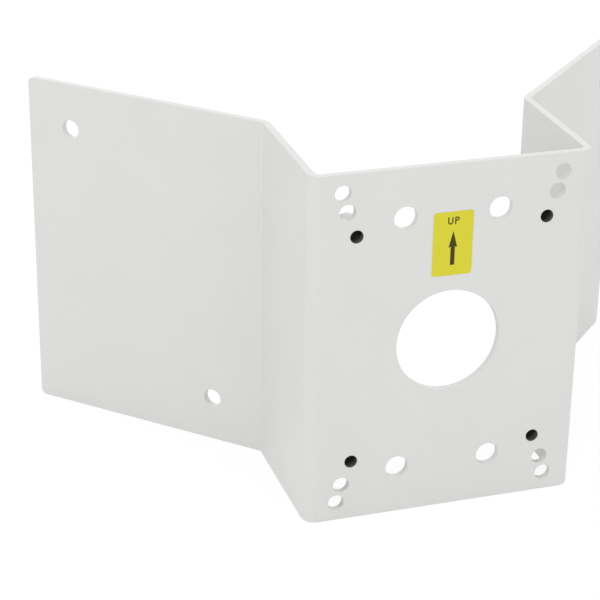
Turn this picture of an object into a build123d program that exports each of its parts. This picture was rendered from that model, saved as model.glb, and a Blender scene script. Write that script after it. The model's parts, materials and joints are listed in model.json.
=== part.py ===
from build123d import *
import os
from math import cos, radians, sin, tan

# Corner bracket for a security camera. One steel sheet is folded into a front plate, two webs that run
# straight back from it and two wings that turn outwards and lie on the two walls of an outside corner.
# Threaded bushes are pressed into the plate for the camera's mount, and a label shows which way is up.
# Frame: the origin is the centre of the cable hole on the plate's front face, X points to the right as
# seen from the front, Y points back towards the wall corner and Z points up. Sizes are in millimetres.

# Folded sheet
sheet_thickness = 4.0
bracket_height = 190.0
plate_width = 148.0  # across the outer faces of the two webs
web_depth = 80.5  # front face of the plate to the line where the front faces of web and wing meet
wing_length = 142.5  # that line to the wing's free edge
wing_angle = 45.0  # turn of each wing outwards from the direction of its web, in degrees
bend_inner_radius = 3.0
wing_corner_radius = 3.0
edge_round = 0.4  # small round on the sheet's cut edges and on the rims of its plain holes

# Plain holes in the plate. The cable hole and each pattern of four have their middle at the plate's middle.
# A pattern's margins are how far its holes stand in from the plate's side and from its top or bottom edge.
cable_hole_diameter = 55.0
corner_hole_diameter = 8.4
outer_corner_margins = (16.5, 10.0)
inner_corner_margins = (19.0, 20.0)
large_hole_diameter = 12.0
large_hole_margins = (49.0, 26.0)

# Threaded bushes in the plate, in a pattern of four with margins as above
bush_margins = (24.0, 33.0)
thread_bore_diameter = 6.8  # tapping size of an 8 mm thread, whose turns are not cut here
bush_shank_diameter = 10.0
bush_body_diameter = 12.0
bush_body_length = 14.0  # how far the body stands out behind the plate
bush_body_chamfer = 0.5
bush_bore_chamfer = 0.2

# Plain holes in each wing, the upper one near its free edge and the lower one near its fold
wing_hole_diameter = 10.0
wing_hole_end_margin = 25.0  # to the wing's top or bottom edge
upper_wing_hole_margin = 26.0  # to the wing's free edge
lower_wing_hole_margin = 30.0  # to the line where the front faces of web and wing meet

# Label on the plate
label_width = 21.0
label_height = 34.0
label_corner_radius = 1.5
label_thickness = 0.2
label_gap = 8.5  # from the rim of the cable hole up to the label

# Sizes that follow from those above
bend_outer_radius = bend_inner_radius + sheet_thickness
half_width = plate_width / 2
turn = radians(wing_angle)
cutter_length = 4 * sheet_thickness  # passes through the sheet from its front face
label_z = cable_hole_diameter / 2 + label_gap + label_height / 2


def four_places(margins):
    """Names and centres of a pattern of four holes, from its margins."""
    across = half_width - margins[0]
    up = bracket_height / 2 - margins[1]
    levels = {"upper": up, "lower": -up}
    sides = {"left": -across, "right": across}
    return {f"{level}_{side}": (x, z) for level, z in levels.items() for side, x in sides.items()}


def wing_plane(side):
    """Plane on a wing's front face: local x runs along the wing from its fold, local z leaves the face."""
    along = (side * sin(turn), cos(turn), 0)
    outwards = (side * cos(turn), -sin(turn), 0)
    return Plane(origin=(side * half_width, web_depth, 0), x_dir=along, z_dir=outwards)


def face_line(offset, wing_fold_radius, plate_fold_radius):
    """One face of the sheet seen from above, wing tip to wing tip, at an offset behind the front face."""
    x = half_width - offset
    fold_y = web_depth + offset * tan(turn / 2)
    tip_x = half_width + wing_length * sin(turn) - offset * cos(turn)
    tip_y = web_depth + wing_length * cos(turn) + offset * sin(turn)
    points = [(-tip_x, tip_y), (-x, fold_y), (-x, offset), (x, offset), (x, fold_y), (tip_x, tip_y)]
    radii = [wing_fold_radius, plate_fold_radius, plate_fold_radius, wing_fold_radius]
    return FilletPolyline(*points, radius=radii)


def bent_blank():
    """The sheet with its four bends and its rounded wing corners, but without holes."""
    front = face_line(0, bend_inner_radius, bend_outer_radius)
    back = face_line(sheet_thickness, bend_outer_radius, bend_inner_radius)
    profile = make_face([front, back, Line(front @ 0, back @ 0), Line(front @ 1, back @ 1)])
    blank = extrude(Pos(0, 0, -bracket_height / 2) * profile, amount=bracket_height, dir=(0, 0, 1))
    by_side = blank.faces().sort_by(Axis.X)
    tips = by_side[0].edges() + by_side[-1].edges()
    return fillet(tips.filter_by(Axis.Z, reverse=True), wing_corner_radius)


def plate_holes(diameter, places):
    """Cutters for holes through the plate at a list of (across, up) places."""
    cutter = Rot(90, 0, 0) * Cylinder(diameter / 2, cutter_length)
    return [Pos(x, 0, z) * cutter for x, z in places]


def wing_holes():
    """Cutters for the holes through both wings."""
    cutter = Cylinder(wing_hole_diameter / 2, cutter_length)
    up = bracket_height / 2 - wing_hole_end_margin
    places = [(wing_length - upper_wing_hole_margin, up), (lower_wing_hole_margin, -up)]
    return [wing_plane(side) * Pos(along, side * z, 0) * cutter for side in (-1, 1) for along, z in places]


def round_cut_edges(sheet):
    """Rounds every cut edge and hole rim, and leaves the lines where a bend or a corner runs on smoothly."""
    bend_reach = half_width + bend_outer_radius
    bend_lines = sheet.edges().filter_by(Axis.Z).filter_by_position(Axis.X, -bend_reach, bend_reach)
    straight = sheet.edges().filter_by(GeomType.LINE)
    just_over_thickness = 1.5 * sheet_thickness
    through_lines = straight.filter_by(lambda edge: edge.length < just_over_thickness)
    return fillet(sheet.edges() - bend_lines - through_lines, edge_round)


def bracket():
    """The folded sheet with all its holes."""
    sheet = bent_blank()
    sheet -= plate_holes(cable_hole_diameter, [(0, 0)])
    sheet -= plate_holes(corner_hole_diameter, four_places(outer_corner_margins).values())
    sheet -= plate_holes(corner_hole_diameter, four_places(inner_corner_margins).values())
    sheet -= plate_holes(large_hole_diameter, four_places(large_hole_margins).values())
    sheet -= wing_holes()
    sheet = round_cut_edges(sheet)
    return sheet - plate_holes(bush_shank_diameter, four_places(bush_margins).values())


def threaded_bush():
    """A bush at the origin: its shank fills the plate's thickness and its body stands behind the plate."""
    body_end = sheet_thickness + bush_body_length
    shank = Cylinder(bush_shank_diameter / 2, sheet_thickness, align=(Align.CENTER, Align.CENTER, Align.MIN))
    body = Cylinder(bush_body_diameter / 2, bush_body_length, align=(Align.CENTER, Align.CENTER, Align.MIN))
    body = chamfer(body.edges().sort_by(Axis.Z)[-1], bush_body_chamfer)
    bush = shank + Pos(0, 0, sheet_thickness) * body
    bush -= Cylinder(thread_bore_diameter / 2, body_end, align=(Align.CENTER, Align.CENTER, Align.MIN))
    between_bore_and_shank = (thread_bore_diameter + bush_shank_diameter) / 4
    circles = bush.edges().filter_by(GeomType.CIRCLE)
    bore_rims = circles.filter_by(lambda edge: edge.radius < between_bore_and_shank)
    return Rot(-90, 0, 0) * chamfer(bore_rims, bush_bore_chamfer)


def up_label():
    """A thin label with rounded corners on the plate's front face, above the cable hole."""
    outline = RectangleRounded(label_width, label_height, label_corner_radius)
    return extrude(Plane.XZ * Pos(0, label_z) * outline, amount=label_thickness, dir=(0, -1, 0))


parts = {"bracket": bracket(), "up_label": up_label()}
for name, (x, z) in four_places(bush_margins).items():
    parts[f"threaded_bush_{name}"] = Pos(x, 0, z) * threaded_bush()

os.makedirs("parts", exist_ok=True)
for name, shape in parts.items():
    export_step(shape, f"parts/{name}.step")
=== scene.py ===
import bpy
import json
from math import cos, pi, radians, sin
from mathutils import Matrix, Vector


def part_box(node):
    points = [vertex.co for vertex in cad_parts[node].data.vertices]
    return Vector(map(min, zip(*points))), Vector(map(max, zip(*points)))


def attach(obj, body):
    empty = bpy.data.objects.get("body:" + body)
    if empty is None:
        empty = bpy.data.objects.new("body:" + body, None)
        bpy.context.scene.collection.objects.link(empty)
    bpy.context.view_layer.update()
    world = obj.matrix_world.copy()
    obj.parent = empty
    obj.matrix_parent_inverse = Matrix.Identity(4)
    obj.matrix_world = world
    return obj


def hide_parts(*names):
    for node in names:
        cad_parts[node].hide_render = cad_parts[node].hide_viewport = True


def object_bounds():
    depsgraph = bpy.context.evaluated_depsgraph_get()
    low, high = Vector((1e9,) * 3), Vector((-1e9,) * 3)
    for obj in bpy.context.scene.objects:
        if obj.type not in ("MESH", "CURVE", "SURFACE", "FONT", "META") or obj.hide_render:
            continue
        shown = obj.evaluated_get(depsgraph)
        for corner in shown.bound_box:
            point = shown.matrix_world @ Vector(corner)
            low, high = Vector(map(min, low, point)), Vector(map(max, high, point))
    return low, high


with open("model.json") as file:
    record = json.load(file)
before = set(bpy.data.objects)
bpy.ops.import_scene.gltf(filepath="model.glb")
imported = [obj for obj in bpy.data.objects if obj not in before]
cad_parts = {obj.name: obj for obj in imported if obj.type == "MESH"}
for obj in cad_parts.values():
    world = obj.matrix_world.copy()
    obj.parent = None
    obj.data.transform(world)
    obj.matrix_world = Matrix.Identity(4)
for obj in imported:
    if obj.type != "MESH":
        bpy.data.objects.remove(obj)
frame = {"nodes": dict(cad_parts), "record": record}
cad_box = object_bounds()

# Looks of a folded corner bracket: pale powder coat on the sheet and on its pressed-in bushes, bare
# blackened threads inside them, and a yellow film label with the word UP and an arrow printed on it.
# Everything is in metres, in the part's own frame: X to the right, Y back from the plate, Z up.
MM = 0.001

# Noise: its layers of finer detail, and the range that its values mostly stay in
plain_detail = 2.0
cloud_detail = 3.0
ink_detail = 3.0
thread_detail = 4.0
noise_low, noise_high = 0.3, 0.7

# Colours, linear
coat_colour = (0.716, 0.716, 0.703, 1.0)
coat_shade = (0.700, 0.700, 0.687, 1.0)
# The thread's deep colour is blackened steel, made darker still as painted shade deep in the bore.
thread_colour = (0.024, 0.023, 0.021, 1.0)
mouth_coat_and_painted_light = (0.130, 0.127, 0.122, 1.0)  # paler near the ends of the thread: partly coat that has reached in, partly painted light that fades into the bore
film_colour = (0.680, 0.630, 0.014, 1.0)
film_shade = (0.660, 0.615, 0.010, 1.0)
ink_colour = (0.040, 0.033, 0.003, 1.0)
thread_darkest = 0.6  # its darkest spots, as a part of its colour
ink_palest = 1.6  # its palest spots, as a multiple of its colour

# Powder coat: sizes of its texture across the surface, heights of its relief and range of its roughness
peel_size = 1.3 * MM
peel_height = 0.012 * MM
grain_size = 0.28 * MM
grain_height = 0.0015 * MM
cloud_size = 45 * MM
coat_roughness = (0.40, 0.52)
coat_ior = 1.5

# Bushes, with a metric thread of 8 mm. Its flats are parts of the pitch.
thread_pitch = 1.25 * MM
thread_crest_flat = 1 / 4
thread_root_flat = 1 / 8
thread_root_radius = 4.0 * MM
thread_run_in = 0.9 * MM  # over which the thread reaches its full depth at either end
painted_light_reach = 6.5 * MM  # over which the painted light at either end fades to the darker inside colour, which stands in for shade deep in the bore
thread_mottle_size = 0.6 * MM
thread_roughness = (0.35, 0.60)
thread_metallic = 0.5
rows_per_pitch = 14
bush_segments = 96
sheet_thickness = 4.0 * MM
shank_radius = 5.0 * MM
body_chamfer = 0.5 * MM
bore_chamfer = 0.2 * MM
smooth_below = 30  # degrees between faces that are shaded as one surface

# Film and ink of the label
film_corner = 1.5 * MM
film_cloud_size = 6.0 * MM
film_gloss_size = 1.5 * MM
film_ripple_size = 2.5 * MM
film_ripple_height = 0.004 * MM
film_roughness = (0.30, 0.40)
ink_mottle_size = 0.5 * MM
ink_roughness = (0.35, 0.50)
matt_specular = 0.25  # specular level of the ink and the blackened thread

# Print on the label, measured down from its top edge and sideways from its middle
ink_thickness = 0.02 * MM
letter_height = 3.9 * MM
letter_drop = 2.85 * MM
letter_stroke = 0.66 * MM
u_left, u_width = -3.05 * MM, 2.8 * MM
p_left, p_width = 0.65 * MM, 2.4 * MM
arrow_middle = 0.07 * MM
arrow_drop = 10.25 * MM
arrow_length = 18.2 * MM
arrow_head_length = 8.4 * MM
arrow_head_width = 4.6 * MM
arrow_shaft_width = 2.25 * MM
arrow_barb = 0.35 * MM
p_bowl_foot = 0.44  # where the bowl of the P starts, as a part of its height
u_steps, p_steps, corner_steps = 20, 16, 8  # straight lines that stand for each round stretch

# Camera at the photograph's place, with the picture's geometry in pixels
picture_side = 600.0
focal_length = 2030.4
axis_pixel = (340.0, 300.0)
sensor_width = 36.0  # millimetres
camera_place = Vector((-0.35249, -0.85065, 0.44520))
camera_heading = radians(19.099)  # turned from +Y towards +X
camera_dip = radians(24.782)  # below the horizon
camera_roll = radians(1.385)
clip_start, clip_end = 0.05, 50.0

# Light
ambient = 0.98
floor_albedo = 0.95
floor_glow = 0.86
floor_shade = 0.16
floor_reach = 4.0
softbox_aim = (0.0, 0.05, 0.0)
softboxes = {  # place, width, height and watts
    "key": ((-0.7, -0.8, 1.5), 1.0, 1.0, 2.6),
    "back": ((0.3, 1.5, 0.35), 1.6, 0.6, 3.2),
}


# Colour and node helpers

def grey(level):
    """A neutral colour of a level, where 1 is white."""
    return (level, level, level, 1.0)


def scaled(colour, factor):
    """A colour made darker or lighter by a factor."""
    return tuple(factor * part for part in colour[:3]) + (1.0,)


def add_node(tree, kind, **settings):
    """A node of a kind, with its settings made, such as inputs by name."""
    node = tree.nodes.new(kind)
    for name, value in settings.items():
        if name in node.inputs:
            node.inputs[name].default_value = value
        else:
            setattr(node, name, value)
    return node


def noise(tree, size, detail=plain_detail):
    """Noise with grains of a size in metres, fixed to the object."""
    place = add_node(tree, "ShaderNodeTexCoord")
    grains = add_node(tree, "ShaderNodeTexNoise", Scale=1 / size, Detail=detail)
    tree.links.new(place.outputs["Object"], grains.inputs["Vector"])
    return grains.outputs["Fac"]


def spread(tree, value, low, high):
    """Spreads the values of a noise from low to high."""
    node = add_node(tree, "ShaderNodeMapRange")
    node.inputs["From Min"].default_value = noise_low
    node.inputs["From Max"].default_value = noise_high
    node.inputs["To Min"].default_value = low
    node.inputs["To Max"].default_value = high
    tree.links.new(value, node.inputs["Value"])
    return node.outputs["Result"]


def blend_colours(tree, factor, first, second):
    """A colour between two, by a factor. Each of the two is a colour or another node's output."""
    node = add_node(tree, "ShaderNodeMix", data_type="RGBA")
    tree.links.new(factor, node.inputs["Factor"])
    sockets = [socket for socket in node.inputs if socket.type == "RGBA"]
    for socket, colour in zip(sockets, (first, second)):
        if isinstance(colour, bpy.types.NodeSocket):
            tree.links.new(colour, socket)
        else:
            socket.default_value = colour
    return [socket for socket in node.outputs if socket.type == "RGBA"][0]


def bump(tree, height_map, height, below=None):
    """A relief of a height in metres, on top of the normal of another relief if given."""
    node = add_node(tree, "ShaderNodeBump", Strength=1.0, Distance=height)
    tree.links.new(height_map, node.inputs["Height"])
    if below:
        tree.links.new(below, node.inputs["Normal"])
    return node.outputs["Normal"]


def new_material(name):
    """A material with its node tree and its shader."""
    material = bpy.data.materials.new(name)
    material.use_nodes = True
    return material, material.node_tree, material.node_tree.nodes["Principled BSDF"]


# Materials

def powder_coat():
    """Satin powder coat: soft orange peel, fine grain and faint clouds of shade."""
    material, tree, shader = new_material("powder_coat")
    cloud = noise(tree, cloud_size, cloud_detail)
    colour = blend_colours(tree, spread(tree, cloud, 0.0, 1.0), coat_shade, coat_colour)
    tree.links.new(colour, shader.inputs["Base Color"])
    tree.links.new(spread(tree, noise(tree, grain_size), *coat_roughness), shader.inputs["Roughness"])
    peel = bump(tree, noise(tree, peel_size), peel_height)
    tree.links.new(bump(tree, noise(tree, grain_size), grain_height, peel), shader.inputs["Normal"])
    shader.inputs["IOR"].default_value = coat_ior
    return material


def depth_from_end(tree, length, reach):
    """How far a place is from the nearer end of a bush along Y, as a part of a reach and at most 1."""
    place = add_node(tree, "ShaderNodeTexCoord")
    along = add_node(tree, "ShaderNodeSeparateXYZ")
    tree.links.new(place.outputs["Object"], along.inputs["Vector"])
    from_end = add_node(tree, "ShaderNodeMath", operation="PINGPONG")
    from_end.inputs[1].default_value = length / 2
    tree.links.new(along.outputs["Y"], from_end.inputs[0])
    part = add_node(tree, "ShaderNodeMapRange", interpolation_type="SMOOTHSTEP")
    part.inputs["From Max"].default_value = reach
    tree.links.new(from_end.outputs[0], part.inputs["Value"])
    return part.outputs["Result"]


def bare_thread(length):
    """Blackened steel of the threads in bushes of a length, uneven from the tap. It is paler at the mouths
    and darker deep inside, partly from coat reaching in and partly as painted light and shade of the bore.
    """
    material, tree, shader = new_material("blackened_thread")
    shader.inputs["Metallic"].default_value = thread_metallic
    shader.inputs["Specular IOR Level"].default_value = matt_specular
    uneven = noise(tree, thread_mottle_size, thread_detail)
    darker = scaled(thread_colour, thread_darkest)
    inside = blend_colours(tree, spread(tree, uneven, 0.0, 1.0), darker, thread_colour)
    # Painted light and shade: paler towards either end of the bore and darker deep inside, with some coat
    # reaching into the first turns.
    colour = blend_colours(tree, depth_from_end(tree, length, painted_light_reach), mouth_coat_and_painted_light, inside)
    tree.links.new(colour, shader.inputs["Base Color"])
    tree.links.new(spread(tree, uneven, *thread_roughness), shader.inputs["Roughness"])
    return material


def label_film():
    """Printed yellow film, smoother than the coat."""
    material, tree, shader = new_material("label_film")
    cloud = noise(tree, film_cloud_size, cloud_detail)
    colour = blend_colours(tree, spread(tree, cloud, 0.0, 1.0), film_shade, film_colour)
    tree.links.new(colour, shader.inputs["Base Color"])
    tree.links.new(spread(tree, noise(tree, film_gloss_size), *film_roughness), shader.inputs["Roughness"])
    tree.links.new(bump(tree, noise(tree, film_ripple_size), film_ripple_height), shader.inputs["Normal"])
    return material


def label_ink():
    """Dark matt printing ink with a slight mottle."""
    material, tree, shader = new_material("label_ink")
    shader.inputs["Specular IOR Level"].default_value = matt_specular
    mottle = noise(tree, ink_mottle_size, ink_detail)
    lighter = scaled(ink_colour, ink_palest)
    colour = blend_colours(tree, spread(tree, mottle, 0.0, 1.0), ink_colour, lighter)
    tree.links.new(colour, shader.inputs["Base Color"])
    tree.links.new(spread(tree, mottle, *ink_roughness), shader.inputs["Roughness"])
    return material


# Pieces

def add_piece(name, mesh, materials, slot, *replaced):
    """Puts a mesh in the scene as a piece of the object."""
    piece = bpy.data.objects.new(name, mesh)
    bpy.context.scene.collection.objects.link(piece)
    for material in materials:
        mesh.materials.append(material)
    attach(piece, "root")
    if replaced:
        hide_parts(*replaced)


def thread_depth(angle, y, length):
    """How deep the thread's groove is at a place on the bore, from 0 at its crest to 1 at its root."""
    from_root = abs((y / thread_pitch - angle / (2 * pi)) % 1.0 - 0.5)
    foot = (1.0 - thread_crest_flat) / 2
    flank = foot - thread_root_flat / 2
    groove = min(1.0, max(0.0, (foot - from_root) / flank))
    from_end = min(y, length - y) - bore_chamfer
    return groove * min(1.0, max(0.0, from_end / thread_run_in))


def bush_mesh(name, length, body_radius, bore_radius):
    """A threaded bush along +Y with its front face at the origin."""
    rim = bore_radius + bore_chamfer
    outer = [(rim, 0.0), (shank_radius, 0.0), (shank_radius, sheet_thickness), (body_radius, sheet_thickness),
             (body_radius, length - body_chamfer), (body_radius - body_chamfer, length), (rim, length)]
    threaded = length - 2 * bore_chamfer
    rows = round(threaded / thread_pitch * rows_per_pitch)
    inner = [length - bore_chamfer - threaded * row / rows for row in range(rows + 1)]
    turns = [2 * pi * k / bush_segments for k in range(bush_segments)]
    points = [(r * cos(a), y, r * sin(a)) for r, y in outer for a in turns]
    for y in inner:
        for a in turns:
            r = bore_radius + (thread_root_radius - bore_radius) * thread_depth(a, y, length)
            points.append((r * cos(a), y, r * sin(a)))
    count = len(outer) + len(inner)
    faces = []
    for row in range(count):
        here, there = row * bush_segments, (row + 1) % count * bush_segments
        for k in range(bush_segments):
            following = (k + 1) % bush_segments
            faces.append((here + k, here + following, there + following, there + k))
    mesh = bpy.data.meshes.new(name)
    mesh.from_pydata(points, [], faces)
    for number, face in enumerate(mesh.polygons):
        row = number // bush_segments
        face.material_index = 1 if len(outer) <= row < count - 1 else 0
        face.use_smooth = True
    mesh.set_sharp_from_angle(angle=radians(smooth_below))
    return mesh


def add_bushes(coat):
    """The four bushes, each at its own node's place."""
    bolts = next(m for m in frame["record"]["mounts"] if m["name"] == "threaded_bushes")
    bore_radius = bolts["dims"]["hole_r_mm"] * MM
    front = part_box("bracket")[0].y
    front_end, back_end = [corner.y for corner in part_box("threaded_bush_upper_left")]
    thread = bare_thread(back_end - front_end)
    for level in ("upper", "lower"):
        for side in ("left", "right"):
            node = f"threaded_bush_{level}_{side}"
            low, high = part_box(node)
            length, body_radius = high.y - low.y, (high.x - low.x) / 2
            mesh = bush_mesh(f"bush_{level}_{side}", length, body_radius, bore_radius)
            mesh.transform(Matrix.Translation(((low.x + high.x) / 2, front, (low.z + high.z) / 2)))
            add_piece(f"bush_{level}_{side}", mesh, [coat, thread], "bush_steel", node)


def arc(middle, radius, start, end, steps):
    """Points on an arc, angles in degrees."""
    angles = [radians(start + (end - start) * k / steps) for k in range(steps + 1)]
    return [(middle[0] + radius * cos(a), middle[1] + radius * sin(a)) for a in angles]


def flat_mesh(name, outlines, thickness):
    """A flat shape facing -Y from outlines in X and Z, with its back at Y = 0. An inner outline is a hole."""
    curve = bpy.data.curves.new(name, "CURVE")
    curve.dimensions = "2D"
    curve.fill_mode = "BOTH"
    curve.extrude = thickness / 2
    for outline in outlines:
        spline = curve.splines.new("POLY")
        spline.points.add(len(outline) - 1)
        for point, (x, z) in zip(spline.points, outline):
            point.co = (x, z, 0.0, 1.0)
        spline.use_cyclic_u = True
    holder = bpy.data.objects.new(name, curve)
    mesh = bpy.data.meshes.new_from_object(holder)
    bpy.data.objects.remove(holder)
    mesh.transform(Matrix.Rotation(radians(90), 4, "X"))
    mesh.transform(Matrix.Translation((0.0, -thickness / 2, 0.0)))
    return mesh


def letter_u():
    """Outline of the letter U, from its lower left corner."""
    w, h, s = u_width, letter_height, letter_stroke
    outer, inner = w / 2, w / 2 - s
    bowl = (w / 2, outer)
    around = [(0, h)] + arc(bowl, outer, 180, 360, u_steps) + [(w, h), (w - s, h)]
    return [around + arc(bowl, inner, 360, 180, u_steps) + [(s, h)]]


def letter_p():
    """Outlines of the letter P, with the hole in its bowl."""
    w, h, s = p_width, letter_height, letter_stroke
    low = p_bowl_foot * h
    radius = (h - low) / 2
    bowl = (w - radius, h - radius)
    outer = [(0, 0), (s, 0), (s, low)] + arc(bowl, radius, -90, 90, p_steps) + [(0, h)]
    return [outer, [(s, low + s)] + arc(bowl, radius - s, -90, 90, p_steps) + [(s, h - s)]]


def arrow():
    """Outline of the arrow, with its tip at the origin."""
    shaft, head = arrow_shaft_width / 2, arrow_head_width / 2
    neck = -arrow_head_length
    right = [(0, 0), (head, neck - arrow_barb), (shaft, neck), (shaft, -arrow_length)]
    return [right + [(-x, z) for x, z in reversed(right[1:])]]


def rounded_rectangle(width, height, radius):
    """Outline of a rectangle with rounded corners about the origin."""
    x, z = width / 2 - radius, height / 2 - radius
    corners = [((x, z), 0), ((-x, z), 90), ((-x, -z), 180), ((x, -z), 270)]
    arcs = [arc(middle, radius, start, start + 90, corner_steps) for middle, start in corners]
    return [point for corner in arcs for point in corner]


def add_label(film, ink):
    """The film and the printing on it, which together are as thick as the label's node."""
    low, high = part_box("up_label")
    middle = (low + high) / 2
    film_thickness = high.y - low.y - ink_thickness
    outline = rounded_rectangle(high.x - low.x, high.z - low.z, film_corner)
    mesh = flat_mesh("label", [outline], film_thickness)
    mesh.transform(Matrix.Translation((middle.x, high.y, middle.z)))
    add_piece("label", mesh, [film], "label_film", "up_label")
    face = high.y - film_thickness
    letters = high.z - letter_drop - letter_height
    printed = {"print_u": (letter_u(), u_left, letters), "print_p": (letter_p(), p_left, letters),
               "print_arrow": (arrow(), arrow_middle, high.z - arrow_drop)}
    for name, (outlines, x, z) in printed.items():
        mesh = flat_mesh(name, outlines, ink_thickness)
        mesh.transform(Matrix.Translation((middle.x + x, face, z)))
        add_piece(name, mesh, [ink], "label_film")


# Camera, light and floor

def add_camera():
    """The camera at the photograph's place."""
    ahead = Vector((sin(camera_heading) * cos(camera_dip), cos(camera_heading) * cos(camera_dip),
                    -sin(camera_dip)))
    level = Vector((cos(camera_heading), -sin(camera_heading), 0.0))
    above = level.cross(ahead)
    right = level * cos(camera_roll) + above * sin(camera_roll)
    up = above * cos(camera_roll) - level * sin(camera_roll)
    data = bpy.data.cameras.new("camera")
    data.sensor_width = sensor_width
    data.lens = sensor_width * focal_length / picture_side
    data.shift_x = (picture_side / 2 - axis_pixel[0]) / picture_side
    data.shift_y = (axis_pixel[1] - picture_side / 2) / picture_side
    data.clip_start = clip_start
    data.clip_end = clip_end
    camera = bpy.data.objects.new("camera", data)
    bpy.context.scene.collection.objects.link(camera)
    camera.matrix_world = Matrix.Translation(camera_place) @ Matrix((right, up, -ahead)).transposed().to_4x4()
    bpy.context.scene.camera = camera


def seen_directly(tree):
    """1 for rays that show the background in the picture, in a reflection or through something clear."""
    path = add_node(tree, "ShaderNodeLightPath")
    either = path.outputs["Is Camera Ray"]
    for kind in ("Is Glossy Ray", "Is Transmission Ray"):
        larger = add_node(tree, "ShaderNodeMath", operation="MAXIMUM")
        tree.links.new(either, larger.inputs[0])
        tree.links.new(path.outputs[kind], larger.inputs[1])
        either = larger.outputs[0]
    return either


def add_world():
    """Even light from all round, white where it is seen."""
    world = bpy.data.worlds.new("studio")
    world.use_nodes = True
    tree = world.node_tree
    background = tree.nodes["Background"]
    background.inputs["Color"].default_value = grey(1.0)
    strength = add_node(tree, "ShaderNodeMapRange")
    strength.inputs["To Min"].default_value = ambient
    strength.inputs["To Max"].default_value = 1.0
    tree.links.new(seen_directly(tree), strength.inputs["Value"])
    tree.links.new(strength.outputs["Result"], background.inputs["Strength"])
    bpy.context.scene.world = world


def add_softbox(name, place, width, height, watts):
    """A rectangular area light that looks at the middle of the object."""
    data = bpy.data.lights.new(name, "AREA")
    data.shape = "RECTANGLE"
    data.size = width
    data.size_y = height
    data.energy = watts
    light = bpy.data.objects.new(name, data)
    light.location = place
    light.rotation_euler = (Vector(softbox_aim) - Vector(place)).to_track_quat("-Z", "Y").to_euler()
    bpy.context.scene.collection.objects.link(light)


def add_floor():
    """A pale floor under the bracket: seen white, with the bracket's soft shadow."""
    bottom = cad_box[0].z
    corners = [(-floor_reach, -floor_reach), (floor_reach, -floor_reach), (floor_reach, floor_reach),
               (-floor_reach, floor_reach)]
    mesh = bpy.data.meshes.new("floor")
    mesh.from_pydata([(x, y, bottom) for x, y in corners], [], [(0, 1, 2, 3)])
    material = bpy.data.materials.new("floor")
    material.use_nodes = True
    tree = material.node_tree
    tree.nodes.remove(tree.nodes["Principled BSDF"])
    plain = add_node(tree, "ShaderNodeBsdfDiffuse", Color=grey(floor_albedo))
    shade = add_node(tree, "ShaderNodeBsdfDiffuse", Color=grey(floor_shade))
    glow = add_node(tree, "ShaderNodeEmission", Strength=floor_glow)
    shown = add_node(tree, "ShaderNodeAddShader")
    tree.links.new(shade.outputs[0], shown.inputs[0])
    tree.links.new(glow.outputs[0], shown.inputs[1])
    choice = add_node(tree, "ShaderNodeMixShader")
    tree.links.new(seen_directly(tree), choice.inputs[0])
    tree.links.new(plain.outputs[0], choice.inputs[1])
    tree.links.new(shown.outputs[0], choice.inputs[2])
    tree.links.new(choice.outputs[0], tree.nodes["Material Output"].inputs["Surface"])
    mesh.materials.append(material)
    floor = bpy.data.objects.new("floor", mesh)
    bpy.context.scene.collection.objects.link(floor)


# Scene

coat = powder_coat()
bracket = frame["nodes"]["bracket"]
for slot in bracket.material_slots:
    slot.material = coat
add_bushes(coat)
add_label(label_film(), label_ink())
add_camera()
add_world()
for name, box in softboxes.items():
    add_softbox(name, *box)
add_floor()
bpy.context.scene.view_settings.view_transform = "Standard"
